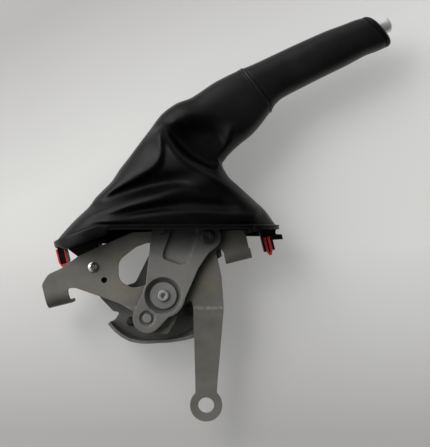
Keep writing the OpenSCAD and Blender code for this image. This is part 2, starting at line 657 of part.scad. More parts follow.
// Grip, as loops set across its axis: [place, slope, share of height above, below, share of width]
loop_n = 32;
grip_flare = 7;
function grip_loop(s, inset) = [for (j = [0 : loop_n - 1])
    let (q = squircle(360 * j / loop_n, 2.4),
         z = q.y * ((q.y > 0 ? s[2] : s[3]) - inset), p = grip_pt(s[0] + s[1] * z, z))
    [p.x, q.x * (s[4] - inset), p.y]];
cover_stations = [
    [0, collar_slope, grip_half_h + 0.5, grip_half_h + grip_flare, grip_half_w + 0.5],
    [8, collar_slope, grip_half_h + 0.2, grip_half_h + grip_flare * 0.42, grip_half_w + 0.2],
    [17, -0.1, grip_half_h, grip_half_h + grip_flare * 0.14, grip_half_w],
    [30, 0, grip_half_h, grip_half_h + 0.2, grip_half_w - 0.3],
    [grip_l - 40, -0.1, grip_half_h - 0.6, grip_half_h - 0.6, grip_half_w - 0.7],
    [grip_l - 18, -0.25, grip_half_h - 2.2, grip_half_h - 1.9, grip_half_w - 1.2],
    [grip_l - 7, cap_slope, grip_half_h - 3, grip_half_h - 0.6, grip_half_w - 1.2],
    [grip_l, cap_slope, grip_half_h - 4, grip_half_h - 0.4, grip_half_w - 1.6]];
core_inset = leather_t + seat_gap;

module grip_cover() color("#17171a")
    tube_loft([for (s = cover_stations) grip_loop(s, 0)], [for (s = cover_stations) grip_loop(s, leather_t)]);

module grip_core() color("#2b2b2e") difference() {
    loft([for (s = cover_stations) grip_loop(s, core_inset)]);
    on_grip(-20) translate([-arm_h / 2 - press_gap, -arm_slim - press_gap, 0])
        cube([arm_h + 2 * press_gap, 2 * (arm_slim + press_gap), arm_end + 20]);
    on_grip(arm_end - 1) cylinder(r = flange_r + slot_gap, h = grip_l);
}

module grip_end_cap() color("#19191b") difference() {
    s = cover_stations[len(cover_stations) - 1];
    loft([grip_loop([cap_from, cap_slope, s[2], s[3], s[4]], 0),
          grip_loop([cap_from + cap_l * 0.45, cap_slope, s[2], s[3], s[4]], 0.4),
          grip_loop([cap_from + cap_l * 0.8, cap_slope, s[2], s[3], s[4]], 1.6),
          grip_loop([cap_from + cap_l, cap_slope, s[2], s[3], s[4]], 4)]);
    on_grip(grip_l - 12) cylinder(r = button_r + side_gap, h = 40);
}

// Collar ring that holds the boot's neck on the grip
collar_l = 8;
collar_gap = 1;
module collar_ring() color("#222224") difference() {
    s = cover_stations[0];
    inset = leather_t + collar_gap;
    loft([grip_loop([-collar_l, collar_slope, s[2] - 1, s[3] - 3, s[4] - 0.5], inset + 1),
          grip_loop([-seat_gap, collar_slope, s[2], s[3], s[4]], inset)]);
    on_grip(-30) translate([-arm_h / 2 - press_gap, -arm_slim - press_gap, 0])
        cube([arm_h + 2 * press_gap, 2 * (arm_slim + press_gap), 60]);
}

// Boot frame: level at the rear, then sloping down to the front
ring_rear = [11, 56.6];
ring_knee = [55, 61];
ring_front = [207, 23.2];
ring_corner = ring_half_w - 1;
function ring_top(x) = x < ring_knee.x
    ? mix(ring_rear.y, ring_knee.y, (x - ring_rear.x) / (ring_knee.x - ring_rear.x))
    : mix(ring_knee.y, ring_front.y, (x - ring_knee.x) / (ring_front.x - ring_knee.x));
tongue_rear_x = ring_rear.x + ring_end / 2 - 1.8;
tongue_front_x = ring_front.x - 12.4;
tongue_rear_z = 35.6;
tongue_front_z = 1;
tongue_w = 9;
front_bar_w = 14;
hook_x = 111;
stop_x = 181;
front_clip_top = tongue_front_z + clip_h - 1;
cheek_t = 1.6;
cheek_low = tongue_front_z + 1.4;
// Stepped bar under the frame's front end: cheeks on both sides of the front clip, and a tab ahead of them
function front_bar() =
    let (x0 = tongue_front_x - front_clip_w / 2 - side_gap, x1 = tongue_front_x + front_clip_w / 2 + side_gap,
         tab = x1 + 10.6, over = front_clip_top + side_gap, low = over - 4,
         up = ring_top(ring_front.x) - ring_h / 2)
    [[x0 - cheek_t, cheek_low], [x0, cheek_low], [x0, over], [x1, over], [x1, cheek_low],
     [x1 + cheek_t, cheek_low], [x1 + cheek_t, low], [tab, low - 1.6], [tab, low + 2.8], [tab - 5, low + 4.2],
     [tab - 5, up], [x0 - cheek_t, up + 3]];

function plan(x0, x1, half, r) =
    concat(arc([x1 - r, half - r], r, 0, 90), arc([x0 + r, half - r], r, 90, 180),
           arc([x0 + r, r - half], r, 180, 270), arc([x1 - r, r - half], r, 270, 360));

// Snap hook and ribbed stop under the long sides
latch_t = 3;
module snap_hook(x, side) {
    z = ring_top(x) - ring_h - 3.6;
    y = side * (ring_half_w - ring_side / 2) - latch_t / 2;
    foot_l = 11;
    translate([x - 1.8, y, z]) cube([3.6, latch_t, 6]);
    translate([x - foot_l / 2, y, z]) cube([foot_l, latch_t, 1.8]);
}
module ribbed_stop(x, side) {
    z = ring_top(x) - ring_h - 3.2;
    y = side * (ring_half_w - ring_side / 2) - latch_t / 2;
    rib_w = 2.6;
    rib_step = 4.6;
    for (i = [-1 : 1]) translate([x + i * rib_step - rib_w / 2, y, z]) cube([rib_w, latch_t, 6]);
    translate([x - rib_step, y + latch_t / 4, z + 0.6]) cube([2 * rib_step, latch_t / 2, 5]);
}

// Skirt under the left side that closes the gap over the bracket
skirt_t = 3;
function skirt() = [[34, ring_top(34) - 1], [34, ring_top(34) - 11], [46, ring_top(46) - 15],
                    [100, ring_top(100) - 17.5], [104, ring_top(104) - 14], [104, ring_top(104) - 1]];

module boot_ring() color("#1b1b1c") union() {
    rear_x = ring_rear.x - 5;
    front_x = ring_front.x + 5;
    step_x = ring_knee.x + 12;
    intersection() {
        sheet(-ring_half_w, 2 * ring_half_w) polygon([
            [rear_x, ring_top(rear_x)], ring_knee, [front_x, ring_top(front_x)],
            [front_x, ring_top(front_x) - ring_h], [step_x, ring_top(step_x) - ring_h],
            ring_knee - [6, ring_rear_h], [rear_x, ring_top(rear_x) - ring_rear_h]]);
        linear_extrude(height = ring_knee.y + 1) difference() {
            polygon(plan(ring_rear.x - 1, ring_front.x + 1, ring_half_w, ring_corner));
            polygon(plan(ring_rear.x - 1 + ring_end, ring_front.x + 1 - ring_end, ring_half_w - ring_side,
                         ring_corner - ring_side));
        }
    }
    translate([tongue_rear_x - rear_tongue_t / 2, -tongue_w / 2, tongue_rear_z])
        cube([rear_tongue_t, tongue_w, ring_top(tongue_rear_x) - ring_h / 2 - tongue_rear_z]);
    translate([tongue_front_x - front_tongue_t / 2, -tongue_w / 2, tongue_front_z])
        cube([front_tongue_t, tongue_w, ring_top(tongue_front_x) - ring_h / 2 - tongue_front_z]);
    sheet(-front_bar_w / 2, front_bar_w) polygon(front_bar());
    sheet(ring_half_w - ring_side, skirt_t) polygon(skirt());
    for (side = [-1, 1]) {
        snap_hook(hook_x, side);
        ribbed_stop(stop_x, side);
    }
}

// Red clip pushed on a tongue from below
module clip(x, z, w, tongue_t) {
    half = w / 2;
    gap = tongue_t / 2 + press_gap;
    top = z + clip_h - 1;
    tip = z - 2.6;
    sheet(-tongue_w / 2 - 1, tongue_w + 2) polygon(concat(
        [[x + gap, z - press_gap], [x + gap, top], [x + half, top], [x + half, z + 2], [x + half - 2, tip]],
        [[x - half + 2, tip], [x - half, z + 2], [x - half, top], [x - gap, top], [x - gap, z - press_gap]]));
}
module clip_rear() color("#c3352c") clip(tongue_rear_x, tongue_rear_z, clip_w, rear_tongue_t);
module clip_front() color("#c3352c") clip(tongue_front_x, tongue_front_z, front_clip_w, front_tongue_t);

// Leather boot between the frame and the grip's collar
boot_t = leather_t;
boot_rear = [ring_rear.x + 3, ring_top(ring_rear.x + 3)];
boot_front = [ring_front.x - 1, ring_top(ring_front.x - 1)];
neck_top = cover_stations[0][2];
neck_low = cover_stations[0][3];
neck_rear = grip_pt(-seat_gap + collar_slope * neck_top, neck_top);
neck_front = grip_pt(-seat_gap - collar_slope * neck_low, -neck_low);
// Rise of the rear side and waist of the front side over the straight lines from frame to collar
rear_rise = [[0, 0], [0.09, -0.8], [0.16, -2], [0.23, 1.4], [0.3, 4.2], [0.35, 9], [0.53, 18.8], [0.6, 22],
             [0.66, 20.4], [0.75, 13.4], [0.86, 9.2], [0.93, 5], [1, 0]];
front_waist = [[0, 1], [0.14, 9.5], [0.24, 18], [0.4, 31.8], [0.53, 42.5], [0.64, 46.8], [0.68, 43.8],
               [0.77, 31], [0.83, 19.2], [0.92, 8], [1, 0]];
boot_half_w = [[0, ring_half_w - 1], [0.2, ring_half_w - 2.6], [0.4, ring_half_w - 6],
               [0.6, ring_half_w - 10], [0.8, grip_half_w + 5], [1, grip_half_w + 0.5]];
boot_square = [[0, 3.3], [0.12, 2.7], [0.3, 2.5], [0.6, 2.5], [1, 2.4]];
boot_at = [0, 0.06, 0.12, 0.18, 0.24, 0.3, 0.36, 0.42, 0.48, 0.54, 0.6, 0.65, 0.7, 0.75, 0.8, 0.86, 0.93, 1];
boot_n = 48;
// Share of the boot's height over which it takes up the frame's bend
boot_settle = 0.4;
// Main folds of both sides: place from the pivot, heading, half length, half width, height
boot_folds = [[[63.5, 121], -35, 24, 15, -8], [[39.5, 127], -66, 24, 8, 3.5], [[66.5, 95], -40, 26, 8, 3.5],
              [[12.5, 95], 1, 42, 8, -4.5], [[1.5, 85], 2, 42, 7, 2.5]];
fold_fade = 0.12;

function fold_height(p, f) =
    let (d = p - pivot - f[0], along = d * heading(f[1]) / f[2], across = d * heading(f[1] + 90) / f[3])
    f[4] * exp(-along * along - across * across);
// Height of all folds at a place in the side view, none at the frame and the collar
function fold_sum(p, t) =
    let (ends = min(1, t / fold_fade, (1 - t) / fold_fade))
    [for (f = boot_folds) fold_height(p, f)] * [for (f = boot_folds) ends];

function boot_loop(t, inset) =
    let (rear = mix(boot_rear, neck_rear, t) + [0, lookup(t, rear_rise)],
         front = mix(boot_front, neck_front, t) - [lookup(t, front_waist), 0],
         mid = (rear + front) / 2, half = (front - rear) / 2, share = 1 - inset / norm(half))
    [for (j = [0 : boot_n - 1])
        let (q = squircle(360 * j / boot_n, lookup(t, boot_square)), p = mid + half * q.x * share,
             chord = mix(boot_rear.y, boot_front.y, (p.x - boot_rear.x) / (boot_front.x - boot_rear.x)),
             settle = (ring_top(p.x) - chord) * max(0, 1 - t / boot_settle),
             fold = fold_sum(p + [0, settle], t) * abs(q.y))
        [p.x, -q.y * (lookup(t, boot_half_w) - inset + fold), p.y + slot_gap * (1 - t) + settle]];

module boot() color("#18181b")
    tube_loft([for (t = boot_at) boot_loop(t, 0)], [for (t = boot_at) boot_loop(t, boot_t)]);

// Warning switch on the bracket's left face, worked by the tab of the left lever plate
plunger_at = [42, far_in + plate_t / 2];
plunger_low = tab_top + side_gap;
plunger_l = 18;
switch_low = switch_screw_at.y - 18;
switch_far = plunger_at.y + plunger_r + 3;
screw_l = 12;

// The body stands behind the bracket, and its connector shroud rises over the bracket's top edge
module switch_body() color("#26262a") difference() {
    x0 = plunger_at.x - switch_l / 2;
    x1 = plunger_at.x + switch_l / 2;
    top = switch_low + switch_h;
    sheet(bracket_far, switch_far - bracket_far) polygon(rounded([
        [x0, switch_low, 2], [x1, switch_low, 2], [x1, top, 3], [x1 - 7, top + 4, 3], [x1 - 7, top + 13, 2],
        [x0 - 8, top + 15, 2], [x0 - 10, top + 12.4, 2], [x0, top, 5]]));
    translate([plunger_at.x, plunger_at.y, switch_low - 1])
        cylinder(r = plunger_r + run_gap, h = plunger_low + plunger_l + 4 - switch_low);
    bar(switch_screw_at, bracket_far - 1, bracket_far + screw_l + 0.5, screw_r + press_gap);
}

module switch_plunger() color("#e4e1d6") translate([plunger_at.x, plunger_at.y, plunger_low]) rotate_extrude()
    polygon(concat([[0, 0]], arc([plunger_r - 1.5, 1.5], 1.5, -70, 0, 4),
                   [[plunger_r, plunger_l], [0, plunger_l]]));

screw_head_h = 3;
recess_l = 4.2;
recess_w = 1.2;
recess_deep = 1.6;
module switch_screw() color("#cfcdc6") difference() {
    turned(switch_screw_at, bracket_y, [
        [0, -screw_head_h], [screw_head_r - 2.4, -screw_head_h], [screw_head_r - 1.2, -2.2],
        [screw_head_r - 1, -0.9], [screw_head_r, -0.6], [screw_head_r, 0], [screw_r, 0],
        [screw_r, bracket_t + screw_l], [0, bracket_t + screw_l]]);
    for (a = [15, 105])
        translate([switch_screw_at.x, bracket_y - screw_head_h, switch_screw_at.y]) rotate([0, a, 0])
            cube([recess_l, 2 * recess_deep, recess_w], center = true);
}

// Blade terminal on the front of the connector shroud
module switch_terminal() color("#cbb26a")
    translate([plunger_at.x + switch_l / 2 - 7, bracket_far + 3, switch_low + switch_h + 7])
        cube([7, 6.3, 0.8]);

base_bracket();
stay_leg();
ratchet_sector();
sector_rivets();
pivot_pin();
pivot_washer();
pivot_sleeve();
pivot_lock_ring();
lever_plate_right();
lever_plate_left();
lever_arm();
cross_pin();
bump_stops();
pawl_pin();
pawl_spacers();
pawl();
release_button();
release_rod();
rod_guide();
button_spring();
grip_core();
grip_cover();
grip_end_cap();
collar_ring();
boot();
boot_ring();
clip_rear();
clip_front();
switch_body();
switch_plunger();
switch_screw();
switch_terminal();
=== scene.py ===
import json
import math

import bpy
import numpy as np
from mathutils import Matrix, Vector


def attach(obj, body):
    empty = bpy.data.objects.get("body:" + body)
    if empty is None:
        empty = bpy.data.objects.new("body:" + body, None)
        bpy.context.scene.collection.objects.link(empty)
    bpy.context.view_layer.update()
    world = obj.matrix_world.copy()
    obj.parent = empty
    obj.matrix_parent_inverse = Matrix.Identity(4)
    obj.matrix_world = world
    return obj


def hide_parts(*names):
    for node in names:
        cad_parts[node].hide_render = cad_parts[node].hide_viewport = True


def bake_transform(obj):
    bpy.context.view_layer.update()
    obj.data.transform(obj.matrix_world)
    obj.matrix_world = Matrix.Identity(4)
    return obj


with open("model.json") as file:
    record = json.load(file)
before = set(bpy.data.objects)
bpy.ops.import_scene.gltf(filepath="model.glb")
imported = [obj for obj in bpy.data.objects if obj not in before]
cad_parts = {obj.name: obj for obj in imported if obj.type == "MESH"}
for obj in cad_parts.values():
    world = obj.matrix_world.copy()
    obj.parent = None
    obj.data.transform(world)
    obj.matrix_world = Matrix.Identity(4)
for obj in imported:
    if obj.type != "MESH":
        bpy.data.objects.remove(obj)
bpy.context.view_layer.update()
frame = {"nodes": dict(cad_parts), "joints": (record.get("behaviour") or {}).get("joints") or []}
nodes = frame["nodes"]
MM = 0.001

# Camera: square to the lever's side, rolled as the part lies in the picture
VIEW_ROLL = math.radians(14)
VIEW_DISTANCE = 0.65
VIEW_SPAN = 0.4023
VIEW_CENTRE = Vector((0.1531, 0, 0.0379))
PICTURE_WIDE, PICTURE_TALL = 430, 447
SENSOR = 36
CLIP_START = 0.01
RIGHT = Vector((math.cos(VIEW_ROLL), 0, -math.sin(VIEW_ROLL)))
UP = Vector((math.sin(VIEW_ROLL), 0, math.cos(VIEW_ROLL)))
TOWARD = Vector((0, -1, 0))
UPPER_LEFT = UP * 0.9 - RIGHT * 0.44


def add_camera():
    data = bpy.data.cameras.new("camera")
    data.sensor_width = SENSOR
    data.lens = SENSOR * VIEW_DISTANCE / VIEW_SPAN
    data.clip_start = CLIP_START
    camera = bpy.data.objects.new("camera", data)
    turn = Matrix((RIGHT, UP, TOWARD)).transposed().to_4x4()
    camera.matrix_world = Matrix.Translation(VIEW_CENTRE + TOWARD * VIEW_DISTANCE) @ turn
    bpy.context.scene.collection.objects.link(camera)
    bpy.context.scene.camera = camera


# Node trees
RAY_SAMPLES = 6
EDGE_TURN = (0.995, 0.86)
BAND_CORE = 0.4
CELL_SMOOTH = 0.3


def rgb(r, g, b):
    return (r, g, b, 1)


def tint(colour, factor):
    return rgb(*[c * factor for c in colour])


def metres(at):
    return tuple(c * MM for c in at)


class Nodes:
    """A node tree, with short calls to add and join its nodes."""

    def __init__(self, tree):
        self.tree = tree

    def add(self, kind, inputs=None, **settings):
        node = self.tree.nodes.new(kind)
        for key, value in settings.items():
            setattr(node, key, value)
        for key, value in (inputs or {}).items():
            self.join(node.inputs[key], value)
        return node

    def join(self, socket, value):
        if isinstance(value, bpy.types.NodeSocket):
            self.tree.links.new(value, socket)
        else:
            socket.default_value = value

    def span(self, value, low, high, to_low=0.0, to_high=1.0):
        """Value drawn out from one range to another, and held at its ends."""
        inputs = {"Value": value, "From Min": low, "From Max": high,
                  "To Min": to_low, "To Max": to_high}
        return self.add("ShaderNodeMapRange", inputs).outputs[0]

    def math(self, operation, a, b=0.0):
        return self.add("ShaderNodeMath", {0: a, 1: b}, operation=operation).outputs[0]

    def times(self, a, b):
        return self.math("MULTIPLY", a, b)

    def vector(self, operation, a, b):
        return self.add("ShaderNodeVectorMath", {0: a, 1: b}, operation=operation).outputs

    def dot(self, a, b):
        return self.vector("DOT_PRODUCT", a, b)["Value"]


class Shader(Nodes):
    """One material's nodes."""

    def __init__(self, name):
        self.material = bpy.data.materials.new(name)
        self.material.use_nodes = True
        super().__init__(self.material.node_tree)
        self.tree.nodes.clear()
        self.surface = self.add("ShaderNodeBsdfPrincipled")
        self.output = self.add("ShaderNodeOutputMaterial")
        self.show(self.surface.outputs[0])
        self.place = self.add("ShaderNodeTexCoord").outputs["Object"]

    def show(self, surface):
        self.join(self.output.inputs["Surface"], surface)

    def set(self, **values):
        for key, value in values.items():
            self.join(self.surface.inputs[key.replace("_", " ")], value)

    def noise(self, scale, detail=3, rough=0.5, stretch=None):
        place = self.place
        if stretch:
            place = self.add("ShaderNodeMapping", {"Vector": place, "Scale": stretch}).outputs[0]
        inputs = {"Vector": place, "Scale": scale, "Detail": detail, "Roughness": rough}
        return self.add("ShaderNodeTexNoise", inputs).outputs["Fac"]

    def spots(self, scale, detail=3, rough=0.5, low=0.3, high=0.7):
        """Mask of uneven spots, from 0 to 1."""
        return self.span(self.noise(scale, detail, rough), low, high)

    def cells(self, scale):
        inputs = {"Vector": self.place, "Scale": scale, "Smoothness": CELL_SMOOTH}
        return self.add("ShaderNodeTexVoronoi", inputs, feature="SMOOTH_F1").outputs["Distance"]

    def mix(self, share, a, b):
        node = self.add("ShaderNodeMix", data_type="RGBA")
        self.join(node.inputs["Factor"], share)
        self.join(node.inputs[6], a)
        self.join(node.inputs[7], b)
        return node.outputs[2]

    def layer(self, share, a, b):
        """Mix of two whole surfaces."""
        return self.add("ShaderNodeMixShader", {0: share, 1: a, 2: b}).outputs[0]

    def bump(self, height, strength, depth, normal=None):
        inputs = {"Height": height, "Strength": strength, "Distance": depth}
        node = self.add("ShaderNodeBump", inputs)
        if normal:
            self.join(node.inputs["Normal"], normal)
        return node.outputs[0]

    def geometry(self, output):
        return self.add("ShaderNodeNewGeometry").outputs[output]

    def edges(self, radius):
        """Mask of 1 on sharp outer edges, and the rounded normal."""
        rounded = self.add("ShaderNodeBevel", {"Radius": radius}, samples=RAY_SAMPLES).outputs[0]
        return self.span(self.dot(rounded, self.geometry("Normal")), *EDGE_TURN), rounded

    def hollows(self, reach, lean=None):
        """Share of open space around a place, looked for more on the side that it leans to."""
        inputs = {"Distance": reach}
        if lean:
            inputs["Normal"] = self.vector("ADD", self.geometry("Normal"), lean)[0]
        return self.add("ShaderNodeAmbientOcclusion", inputs, samples=RAY_SAMPLES).outputs["AO"]

    def near(self, at, radius):
        """Mask of 1 at a place in millimetres, fading out at the radius."""
        gap = self.vector("DISTANCE", self.place, metres(at))["Value"]
        return self.span(gap, radius * MM, 0)

    def beyond(self, at, along):
        """Distance past a place in millimetres, measured along a direction, in metres."""
        return self.dot(self.vector("SUBTRACT", self.place, metres(at))[0], along)

    def band(self, at, along, half):
        """Mask of 1 on a line square to a direction, fading out at the half width."""
        gap = self.math("ABSOLUTE", self.beyond(at, along))
        return self.span(gap, half * MM, half * MM * BAND_CORE)


# Leather, as shares of its own shade
LEATHER_DARK = (0.75, 0.75, 0.8)
LEATHER_LIGHT = (1.45, 1.45, 1.5)
LEATHER_CREASE_SHADE = (0.2, 0.2, 0.2)
# Painted light: the boot's leather turns paler towards its neck
LEATHER_NECK_LIGHT = (1, 1, 1.05)
LEATHER_SHADE_REACH = 0.045
LEATHER_SHINE = 0.22


def leather(name, shade, grain, painted_neck_light=None):
    """Black leather with painted shade in its hollows, and painted light where a mesh attribute
    says so.
    """
    s = Shader(name)
    tone = s.mix(s.spots(38, detail=4), tint(LEATHER_DARK, shade), tint(LEATHER_LIGHT, shade))
    # Painted light: paler where the mesh's attribute for it is set
    if painted_neck_light:
        share = s.add("ShaderNodeAttribute", attribute_name="painted_neck_light").outputs["Fac"]
        tone = s.mix(share, tone, tint(LEATHER_NECK_LIGHT, painted_neck_light))
    # Painted shade in the folds' hollows: darker colour and weaker reflection there
    unshaded_share = s.span(s.hollows(LEATHER_SHADE_REACH), 0.55, 0.97)
    pebbles = s.math("ADD", s.cells(grain), s.times(s.noise(grain * 2.6, detail=2), 0.35))
    s.set(Base_Color=s.mix(unshaded_share, tint(LEATHER_CREASE_SHADE, shade), tone),
          Roughness=s.span(s.noise(130), 0.3, 0.7, 0.32, 0.42),
          Specular_IOR_Level=s.times(unshaded_share, LEATHER_SHINE),
          Normal=s.bump(pebbles, strength=0.12, depth=0.00025))
    return s.material


# Steel: tones as shares of its own colour, the side the painted shade in its hollows takes its
# light from, and the line of the boot's frame, below which the plates get a painted shadow
STEEL_DARK, STEEL_LIGHT = 0.72, 1.12
STEEL_SPECKLE = 0.6
STEEL_CREVICE_SHADE = 0.4
STEEL_UNDER_SHADE = 0.16
STEEL_FRAME_SHADOW = 0.1
PAINTED_LIGHT_SIDE = (-0.4, -0.2, 0.8)
BOOT_LINE = (55, 0, 61)
BOOT_DOWN = (-0.241, 0, -0.970)
FRAME_SHADOW_RUN = (0.008, 0.028)
CREVICE_SHADE_REACH = 0.004
UNDER_SHADE_REACH = 0.035
STEEL_ROUND = 0.0007
STAIN = rgb(0.2, 0.155, 0.06)
BARE_EDGE = rgb(0.62, 0.61, 0.58)


def steel(name, colour, stain, gloss, wear=0.55, marks=(), frame_shadow=0.0):
    """Worn satin steel with painted shade, and marks of its own as (mask, strength, colour,
    patchy).
    """
    s = Shader(name)
    clouds = s.spots(28, 5, 0.6, low=0.32, high=0.68)
    tone = s.mix(clouds, tint(colour, STEEL_DARK), tint(colour, STEEL_LIGHT))
    tone = s.mix(s.times(s.spots(900, detail=2), 0.25), tone, tint(colour, STEEL_SPECKLE))
    tone = s.mix(s.times(s.spots(46, 4, 0.65, low=0.55, high=0.8), stain), tone, STAIN)
    edge, rounded = s.edges(STEEL_ROUND)
    worn = s.times(edge, s.spots(240, high=0.65))
    tone = s.mix(s.times(worn, wear), tone, BARE_EDGE)
    for mask, strength, mark_colour, patchy in marks:
        share = mask(s)
        if patchy:
            share = s.times(share, s.spots(330, low=0.35, high=0.6))
        tone = s.mix(s.times(share, strength), tone, mark_colour)
    # Painted shade in creases and recesses, heavier on their side away from the painted light
    crevice_shade = s.span(s.hollows(CREVICE_SHADE_REACH, PAINTED_LIGHT_SIDE), 0.15, 0.75)
    tone = s.mix(crevice_shade, tint(colour, STEEL_CREVICE_SHADE), tone)
    # Painted shade in deep recesses, such as below the boot and between the plates
    under = s.span(s.hollows(UNDER_SHADE_REACH, PAINTED_LIGHT_SIDE), 0.35, 0.8, 0.85, 0.0)
    tone = s.mix(under, tone, tint(colour, STEEL_UNDER_SHADE))
    # Painted shadow of the boot's frame on the plates below its line
    if frame_shadow:
        shaded = s.span(s.beyond(BOOT_LINE, BOOT_DOWN), *FRAME_SHADOW_RUN, frame_shadow, 0.0)
        tone = s.mix(shaded, tone, tint(colour, STEEL_FRAME_SHADOW))
    scuffs = s.noise(120, 3, 0.7, stretch=(1, 1, 14))
    rough = s.span(scuffs, 0.25, 0.75, gloss, gloss + 0.14)
    pits = s.math("ADD", s.noise(1500, detail=2), s.times(scuffs, 0.6))
    s.set(Base_Color=tone, Metallic=0.35, Specular_IOR_Level=0.4,
          Roughness=s.math("SUBTRACT", rough, s.times(worn, 0.1)),
          Normal=s.bump(pits, 0.12, 0.00012, rounded))
    return s.material


PLASTIC_DARK, PLASTIC_LIGHT = 0.85, 1.15
PLASTIC_ROUND = 0.0004


def plastic(name, colour, rough, grain, shine=0.5):
    """Moulded plastic, rubber or black coating, a little paler on its edges."""
    s = Shader(name)
    edge, rounded = s.edges(PLASTIC_ROUND)
    tone = s.mix(s.spots(60), tint(colour, PLASTIC_DARK), tint(colour, PLASTIC_LIGHT))
    pale = rgb(*[min(1, c * 1.6 + 0.015) for c in colour])
    s.set(Base_Color=s.mix(s.times(edge, 0.5), tone, pale),
          Roughness=s.span(s.noise(grain / 3), 0.3, 0.7, rough - 0.06, rough + 0.08),
          Specular_IOR_Level=shine,
          Normal=s.bump(s.noise(grain, detail=2), 0.15, 0.0001, rounded))
    return s.material


METAL_DARK = 0.86
METAL_ROUND = 0.0003
METAL_EDGE = rgb(0.9, 0.9, 0.9)


def bright_metal(name, colour, rough, metallic=1.0):
    """Plated or turned metal with fine streaks."""
    s = Shader(name)
    edge, rounded = s.edges(METAL_ROUND)
    streaks = s.noise(700, 2, 0.6, stretch=(0.15, 1, 1))
    tone = s.mix(s.span(streaks, 0.3, 0.7), tint(colour, METAL_DARK), rgb(*colour))
    s.set(Base_Color=s.mix(s.times(edge, 0.4), tone, METAL_EDGE), Metallic=metallic,
          Roughness=s.span(streaks, 0.25, 0.75, rough, rough + 0.12),
          Normal=s.bump(streaks, 0.06, 0.00008, rounded))
    return s.material


# Table: two tones, and painted shade along the picture's lower edge and in its upper left corner
TABLE_DULL = rgb(0.755, 0.747, 0.725)
TABLE_PALE = rgb(0.795, 0.788, 0.768)
TABLE_PAINTED_SHADE = rgb(0.3, 0.29, 0.29)
TABLE_LOW = 0.68
TABLE_LOW_RUN = (-0.02, -0.2)
TABLE_CORNER = 0.6
TABLE_CORNER_RUN = (0.1, 0.25)
TABLE_GLOW = 0.84
TABLE_GLOW_SHARE = 0.34
TABLE_Y = 0.041
TABLE_HALF = 2.5


def table_top():
    s = Shader("table_top")
    tone = s.mix(s.spots(3), TABLE_DULL, TABLE_PALE)
    # Painted shade, darker towards the picture's lower edge and its upper left corner
    low_run = [UP.dot(VIEW_CENTRE) + d for d in TABLE_LOW_RUN]
    corner_run = [UPPER_LEFT.dot(VIEW_CENTRE) + d for d in TABLE_CORNER_RUN]
    low = s.span(s.dot(s.place, UP), *low_run, 0.0, TABLE_LOW)
    corner = s.span(s.dot(s.place, UPPER_LEFT), *corner_run, 0.0, TABLE_CORNER)
    tone = s.mix(s.math("ADD", low, corner), tone, TABLE_PAINTED_SHADE)
    s.set(Base_Color=tone, Roughness=0.6, Specular_IOR_Level=0.2)
    # Seen directly or in metal, the table shows a share of its own tone besides the light on it
    path = s.add("ShaderNodeLightPath").outputs
    seen = s.math("MAXIMUM", path["Is Camera Ray"], path["Is Glossy Ray"])
    seen = s.math("MAXIMUM", seen, path["Is Transmission Ray"])
    own = s.add("ShaderNodeEmission", {"Color": tone, "Strength": TABLE_GLOW}).outputs[0]
    front = s.layer(s.times(seen, TABLE_GLOW_SHARE), s.surface.outputs[0], own)
    # From behind it is clear, so that the far side of the part can be seen
    clear = s.add("ShaderNodeBsdfTransparent").outputs[0]
    s.show(s.layer(s.geometry("Backfacing"), front, clear))
    return s.material


# Marks of the bracket and the stay: a painted highlight on the stay's bend, painted shade at the
# rear foot, grease and rust
STAY_BEND = (127.1, 0, -33)
STAY_DOWN = (-0.242, 0, -0.970)
REAR_BEND = (1, -8, 5)
UPRIGHT = (0, 0, 1)
BEND_HIGHLIGHT = rgb(0.55, 0.54, 0.5)
SHADE = rgb(0.06, 0.057, 0.05)
GREASE = rgb(0.17, 0.135, 0.02)
RUST = rgb(0.2, 0.16, 0.08)


def rear_shade(s):
    return s.times(s.near(REAR_BEND, 32), s.band(REAR_BEND, UPRIGHT, 9))


BRACKET_MARKS = [
    # Painted highlight across the stay's bend
    (lambda s: s.band(STAY_BEND, STAY_DOWN, 2.2), 0.28, BEND_HIGHLIGHT, True),
    # Painted shade on the rear foot's bend
    (rear_shade, 0.75, SHADE, False),
    (lambda s: s.near((66, -8, 28), 9), 0.8, GREASE, True),
    (lambda s: s.near((76, -8, -42), 14), 0.9, GREASE, True),
    (lambda s: s.near((60, -8, 3), 22), 0.35, RUST, True),
    (lambda s: s.near((136, -6, 4), 16), 0.4, RUST, True),
]
# Painted shade: the boot's leather is darker than the grip's, with painted light towards its neck
boot_leather = leather("boot_leather", 0.0016, 1100, painted_neck_light=0.0085)
grip_leather = leather("grip_leather", 0.0075, 1250)
bracket_steel = steel("bracket_steel", (0.19, 0.181, 0.16), 0.42, 0.46, 0.2, BRACKET_MARKS)
# The lever's plates get the painted shadow of the boot's frame
plate_steel = steel("plate_steel", (0.2, 0.195, 0.182), 0.16, 0.44, frame_shadow=0.8)
pin_steel = steel("pin_steel", (0.26, 0.256, 0.245), 0.1, 0.36)
black_steel = plastic("black_steel", (0.012, 0.012, 0.013), 0.38, 2200)
black_plastic = plastic("black_plastic", (0.0028, 0.0028, 0.003), 0.42, 2600, shine=0.18)
rubber = plastic("rubber", (0.014, 0.014, 0.014), 0.6, 1800)
red_plastic = plastic("red_plastic", (0.5, 0.018, 0.02), 0.4, 2600)
pale_plastic = plastic("pale_plastic", (0.62, 0.6, 0.53), 0.45, 2400)
button_metal = bright_metal("button_metal", (0.8, 0.8, 0.79), 0.3, metallic=0.62)
zinc = bright_metal("zinc", (0.72, 0.71, 0.68), 0.2)
dull_zinc = bright_metal("dull_zinc", (0.42, 0.415, 0.4), 0.42, metallic=0.6)
tinned_brass = bright_metal("tinned_brass", (0.62, 0.56, 0.4), 0.3)

